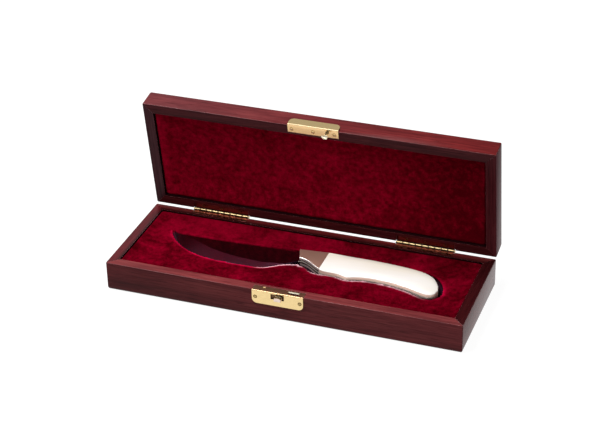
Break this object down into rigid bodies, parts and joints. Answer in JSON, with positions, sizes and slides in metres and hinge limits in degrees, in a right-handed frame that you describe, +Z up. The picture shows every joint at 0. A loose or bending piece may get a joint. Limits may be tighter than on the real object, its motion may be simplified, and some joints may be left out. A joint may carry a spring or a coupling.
{
  "type": "knife display case",
  "caption": "Hinged lacquered wooden case lined with red velvet, with a brass thumb-slide catch and a fixed-blade knife lying in a shaped recess.",
  "frame": {"origin": "centre of the face the closed or open case rests on, under the middle of the base", "axes": "+X along the case to the right as seen from the catch side, +Y from the catch to the hinges, +Z up"},
  "size_m": [0.33, 0.1403, 0.1443],
  "materials": {
    "lacquered_wood": "satin lacquer over dark red-brown mahogany",
    "plain_board": "bare plywood",
    "tray_velvet": "crimson velvet over foam",
    "lid_velvet": "crimson velvet over a thin pad",
    "brass": "polished sheet brass",
    "spring_steel": "bright spring wire",
    "blade_steel": "mirror-polished blade",
    "bolster_steel": "satin steel",
    "ivory_grip": "polished ivory-coloured scales"
  },
  "bodies": {
    "base": {"base_front_wall": "lacquered_wood", "base_right_wall": "lacquered_wood", "base_back_wall": "lacquered_wood", "base_left_wall": "lacquered_wood", "base_bottom_panel": "lacquered_wood", "base_tray_board": "plain_board", "base_velvet_bed": "tray_velvet", "catch_plate": "brass", "catch_return_spring": "spring_steel", "catch_face_screw_1": "brass", "catch_face_screw_2": "brass", "catch_rim_screw_1": "brass", "left_hinge_lower_leaf": "brass", "left_hinge_pin": "brass", "right_hinge_lower_leaf": "brass", "right_hinge_pin": "brass", "left_hinge_lower_screw_1": "brass", "left_hinge_lower_screw_2": "brass", "left_hinge_lower_screw_3": "brass", "right_hinge_lower_screw_1": "brass", "right_hinge_lower_screw_2": "brass", "right_hinge_lower_screw_3": "brass"},
    "lid": {"lid_back_wall": "lacquered_wood", "lid_right_wall": "lacquered_wood", "lid_front_wall": "lacquered_wood", "lid_left_wall": "lacquered_wood", "lid_panel": "lacquered_wood", "lid_lining_board": "plain_board", "lid_velvet_pad": "lid_velvet", "left_hinge_upper_leaf": "brass", "right_hinge_upper_leaf": "brass", "left_hinge_upper_screw_1": "brass", "left_hinge_upper_screw_2": "brass", "left_hinge_upper_screw_3": "brass", "right_hinge_upper_screw_1": "brass", "right_hinge_upper_screw_2": "brass", "right_hinge_upper_screw_3": "brass", "strike_plate": "brass", "strike_hook": "brass", "strike_screw_1": "brass", "strike_screw_2": "brass", "strike_screw_3": "brass"},
    "thumb_slide": {"catch_thumb_slide": "brass"},
    "knife": {"knife_blade": "blade_steel", "knife_upper_bolster": "bolster_steel", "knife_upper_scale": "ivory_grip", "knife_lower_bolster": "bolster_steel", "knife_lower_scale": "ivory_grip"}
  },
  "joints": [
    {"name": "lid_hinge", "type": "hinge", "parent": "base", "child": "lid", "pos_m": [0, 0.0577, 0.02845], "axis": [-1, 0, 0], "range_deg": [-80.8, 0]},
    {"name": "thumb_slide_travel", "type": "slide", "parent": "base", "child": "thumb_slide", "axis": [-1, 0, 0], "range_m": [0, 0.0035], "stiffness_N_per_m": 150, "springref_m": -0.002, "deforming": ["catch_return_spring"]},
    {"name": "knife_lift", "type": "slide", "parent": "base", "child": "knife", "axis": [0, 0, 1], "range_m": [0, 0.08]}
  ]
}
